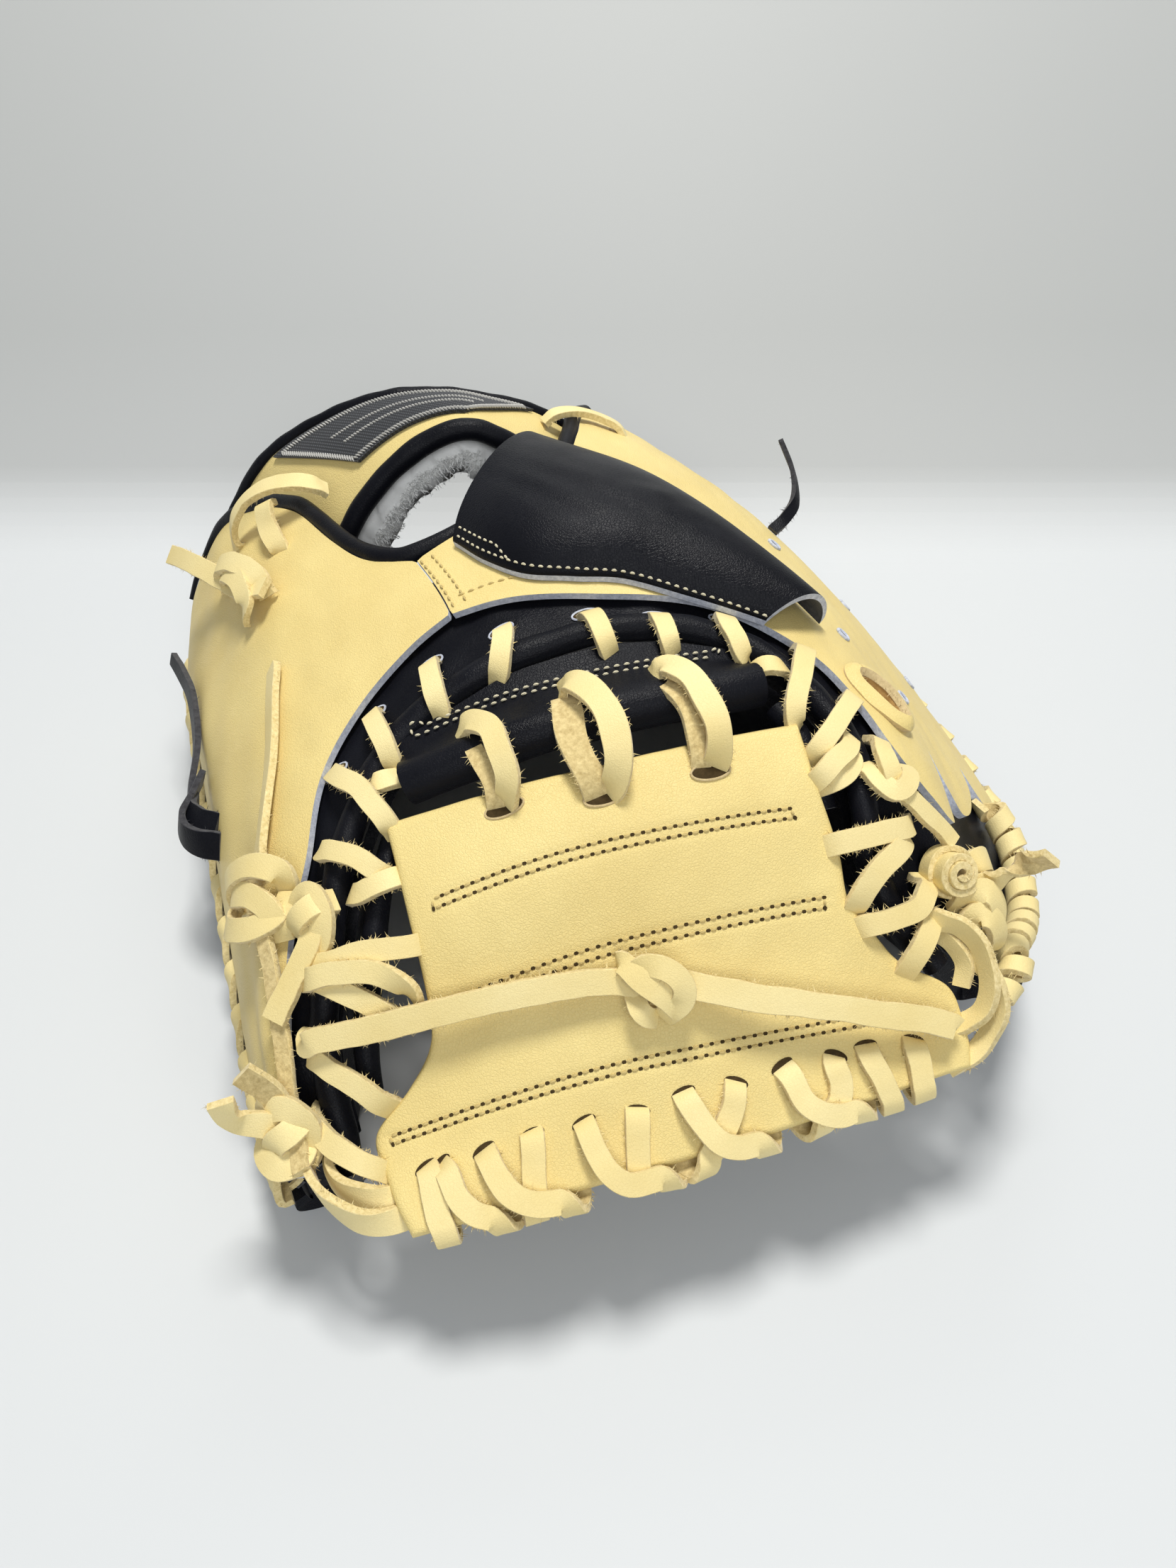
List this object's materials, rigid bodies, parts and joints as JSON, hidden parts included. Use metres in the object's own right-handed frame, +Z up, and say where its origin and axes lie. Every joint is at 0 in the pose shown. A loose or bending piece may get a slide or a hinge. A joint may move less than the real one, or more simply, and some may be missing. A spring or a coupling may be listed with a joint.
{
  "type": "catcher mitt",
  "caption": "Padded leather catcher's mitt with a closed web, laced rim, wrist strap with fleece lining and an index finger sleeve on its back, lying palm down.",
  "frame": {"origin": "on the floor under the middle of the mitt's box", "axes": "+Z up, palm side down on z = 0; +X from the thumb to the fingers; -Y towards the web, +Y towards the heel and the wrist"},
  "size_m": [0.2625, 0.2926, 0.1319],
  "materials": {
    "leather_blond": "grained, semi-matte",
    "leather_black": "smooth, soft sheen",
    "lace_rawhide": "rawhide, matte",
    "patch_woven": "woven, matte",
    "fleece": "fluffy"
  },
  "bodies": {
    "root": {"thumb_back": "leather_blond", "finger_back": "leather_blond", "web_panel": "leather_blond", "wrist_strap": "leather_blond", "finger_loop": "leather_blond", "crotch_roll": "leather_black", "inner_roll_thumb": "leather_black", "inner_roll_finger": "leather_black", "crotch_band": "leather_black", "palm": "leather_black", "web_bar": "leather_black", "rim_welt_thumb": "leather_black", "rim_welt_finger": "leather_black", "index_sleeve": "leather_black", "strap_binding_outer": "leather_black", "strap_binding_inner": "leather_black", "opening_binding": "leather_black", "side_cord": "leather_black", "loose_cord": "leather_black", "strap_patch": "patch_woven", "wrist_fleece": "fleece", "web_top_lace": "lace_rawhide", "arch_lace": "lace_rawhide", "thumb_side_lace": "lace_rawhide", "finger_side_lace": "lace_rawhide", "web_foot_lace": "lace_rawhide", "rim_lace_thumb": "lace_rawhide", "rim_lace_finger": "lace_rawhide", "web_knot": "lace_rawhide", "thumb_knot": "lace_rawhide", "edge_knot": "lace_rawhide", "tip_knot": "lace_rawhide", "opening_knot": "lace_rawhide", "finger_knot": "lace_rawhide", "finger_tip_knot": "lace_rawhide", "finger_edge_knot": "lace_rawhide", "corner_loop_thumb": "lace_rawhide", "corner_loop_finger": "lace_rawhide", "strap_lace_thumb": "lace_rawhide", "strap_lace_finger": "lace_rawhide"}
  },
  "joints": []
}
